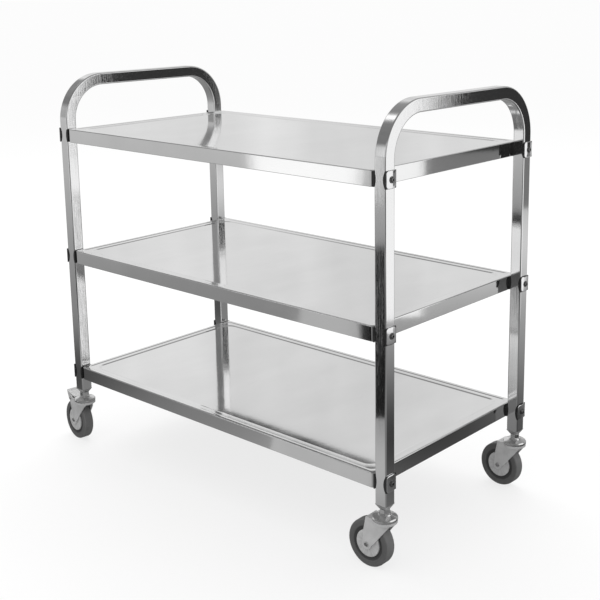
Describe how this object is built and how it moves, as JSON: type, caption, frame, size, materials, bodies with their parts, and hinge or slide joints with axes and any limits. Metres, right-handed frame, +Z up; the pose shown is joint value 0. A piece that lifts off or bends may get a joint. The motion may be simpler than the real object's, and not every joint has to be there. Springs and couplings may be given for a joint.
{
  "type": "service trolley",
  "caption": "Mirror-polished steel service trolley with tiered dished shelves bolted between bent square-tube end frames, on swivel castors, some with foot brakes.",
  "frame": {"origin": "on the floor, midway between the four castor stems", "axes": "+X along the trolley towards the right-hand end, +Y across it towards the rear, +Z up"},
  "size_m": [1.0936, 0.5238, 0.932],
  "materials": {
    "polished_tube": "mirror-polished stainless steel",
    "polished_sheet": "bright polished stainless sheet",
    "black_plastic": "satin black",
    "dark_steel": "dull",
    "zinc": "zinc plated",
    "hub_plastic": "moulded light grey",
    "grey_rubber": "matt dark grey"
  },
  "bodies": {
    "frame": {"left_end_frame": "polished_tube", "right_end_frame": "polished_tube", "top_shelf": "polished_sheet", "middle_shelf": "polished_sheet", "bottom_shelf": "polished_sheet", "inner_saddles": "black_plastic", "outer_saddles": "black_plastic", "corner_plates": "polished_sheet", "shelf_bolts": "dark_steel", "shelf_nuts": "zinc", "leg_plugs": "dark_steel", "castor_stems": "zinc", "stem_nuts": "zinc", "swivel_cups": "zinc"},
    "front_left_swivel": {"front_left_fork": "zinc", "front_left_ball_ring": "zinc", "front_left_axle_sleeve": "zinc", "front_left_axle_rivet": "zinc", "front_left_brake_pin": "zinc"},
    "front_left_wheel": {"front_left_hub": "hub_plastic", "front_left_tyre": "grey_rubber"},
    "front_left_pedal": {"front_left_brake_pedal": "zinc", "front_left_brake_shoe": "black_plastic"},
    "front_right_swivel": {"front_right_fork": "zinc", "front_right_ball_ring": "zinc", "front_right_axle_sleeve": "zinc", "front_right_axle_rivet": "zinc"},
    "front_right_wheel": {"front_right_hub": "hub_plastic", "front_right_tyre": "grey_rubber"},
    "rear_left_swivel": {"rear_left_fork": "zinc", "rear_left_ball_ring": "zinc", "rear_left_axle_sleeve": "zinc", "rear_left_axle_rivet": "zinc", "rear_left_brake_pin": "zinc"},
    "rear_left_wheel": {"rear_left_hub": "hub_plastic", "rear_left_tyre": "grey_rubber"},
    "rear_left_pedal": {"rear_left_brake_pedal": "zinc", "rear_left_brake_shoe": "black_plastic"},
    "rear_right_swivel": {"rear_right_fork": "zinc", "rear_right_ball_ring": "zinc", "rear_right_axle_sleeve": "zinc", "rear_right_axle_rivet": "zinc"},
    "rear_right_wheel": {"rear_right_hub": "hub_plastic", "rear_right_tyre": "grey_rubber"}
  },
  "joints": [
    {"name": "front_left_swivel_turn", "type": "hinge", "parent": "frame", "child": "front_left_swivel", "pos_m": [-0.4915, -0.236, 0.1075], "axis": [0, 0, 1], "continuous": true},
    {"name": "front_left_wheel_spin", "type": "hinge", "parent": "front_left_swivel", "child": "front_left_wheel", "pos_m": [-0.52525, -0.23186, 0.05], "axis": [0.1219, 0.9925, 0], "continuous": true},
    {"name": "front_left_brake_press", "type": "hinge", "parent": "front_left_swivel", "child": "front_left_pedal", "pos_m": [-0.53517, -0.23064, 0.106], "axis": [-0.1219, -0.9925, 0], "range_deg": [0, 12]},
    {"name": "front_right_swivel_turn", "type": "hinge", "parent": "frame", "child": "front_right_swivel", "pos_m": [0.4915, -0.236, 0.1075], "axis": [0, 0, 1], "continuous": true},
    {"name": "front_right_wheel_spin", "type": "hinge", "parent": "front_right_swivel", "child": "front_right_wheel", "pos_m": [0.4575, -0.23659, 0.05], "axis": [-0.0175, 0.9998, 0], "continuous": true},
    {"name": "rear_left_swivel_turn", "type": "hinge", "parent": "frame", "child": "rear_left_swivel", "pos_m": [-0.4915, 0.236, 0.1075], "axis": [0, 0, 1], "continuous": true},
    {"name": "rear_left_wheel_spin", "type": "hinge", "parent": "rear_left_swivel", "child": "rear_left_wheel", "pos_m": [-0.52542, 0.23363, 0.05], "axis": [-0.0698, 0.9976, 0], "continuous": true},
    {"name": "rear_left_brake_press", "type": "hinge", "parent": "rear_left_swivel", "child": "rear_left_pedal", "pos_m": [-0.53539, 0.23293, 0.106], "axis": [0.0698, -0.9976, 0], "range_deg": [0, 12]},
    {"name": "rear_right_swivel_turn", "type": "hinge", "parent": "frame", "child": "rear_right_swivel", "pos_m": [0.4915, 0.236, 0.1075], "axis": [0, 0, 1], "continuous": true},
    {"name": "rear_right_wheel_spin", "type": "hinge", "parent": "rear_right_swivel", "child": "rear_right_wheel", "pos_m": [0.4575, 0.23659, 0.05], "axis": [0.0175, 0.9998, 0], "continuous": true}
  ]
}
